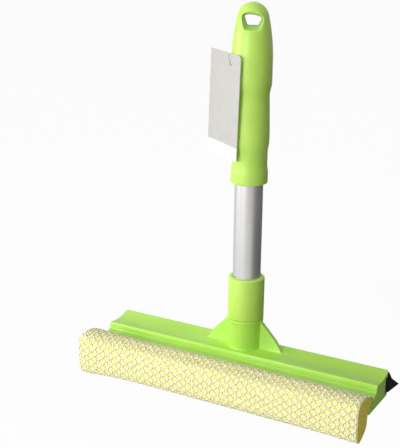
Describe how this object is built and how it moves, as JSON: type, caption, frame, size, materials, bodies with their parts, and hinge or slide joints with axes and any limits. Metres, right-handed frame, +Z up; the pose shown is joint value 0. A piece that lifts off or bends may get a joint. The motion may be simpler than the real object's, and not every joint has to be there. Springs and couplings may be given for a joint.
{
  "type": "window scrubber",
  "caption": "Hand-held window scrubber: a netted sponge in front and a rubber squeegee blade behind, on a head that comes off a tube handle with a moulded grip and a hang eye.",
  "frame": {"origin": "centre of the hang eye near the top of the grip, on the handle's axis", "axes": "+Z up the handle, +X along the head to the right seen from the sponge side, +Y from the sponge towards the squeegee blade"},
  "size_m": [0.2417, 0.0896, 0.3042],
  "materials": {
    "grip_plastic": "satin",
    "tube_aluminium": "satin",
    "card": "matte",
    "pad_foam": "matte",
    "head_plastic": "satin",
    "blade_rubber": "matte",
    "rail_plastic": "satin",
    "foam": "matte",
    "net_yarn": "matte"
  },
  "bodies": {
    "handle": {"grip": "grip_plastic", "tube": "tube_aluminium", "collar": "grip_plastic", "label_card": "card", "label_pad": "pad_foam"},
    "head": {"head_body": "head_plastic"},
    "blade": {"squeegee_blade": "blade_rubber"},
    "sponge": {"sponge_rail": "rail_plastic", "sponge_foam": "foam", "mesh_net": "net_yarn"}
  },
  "joints": [
    {"name": "head_detach", "type": "slide", "parent": "handle", "child": "head", "axis": [0, 0, -1], "range_m": [0, 0.024]},
    {"name": "blade_slide", "type": "slide", "parent": "head", "child": "blade", "axis": [1, 0, 0], "range_m": [0, 0.245]},
    {"name": "sponge_slide", "type": "slide", "parent": "head", "child": "sponge", "axis": [-1, 0, 0], "range_m": [0, 0.245]}
  ]
}
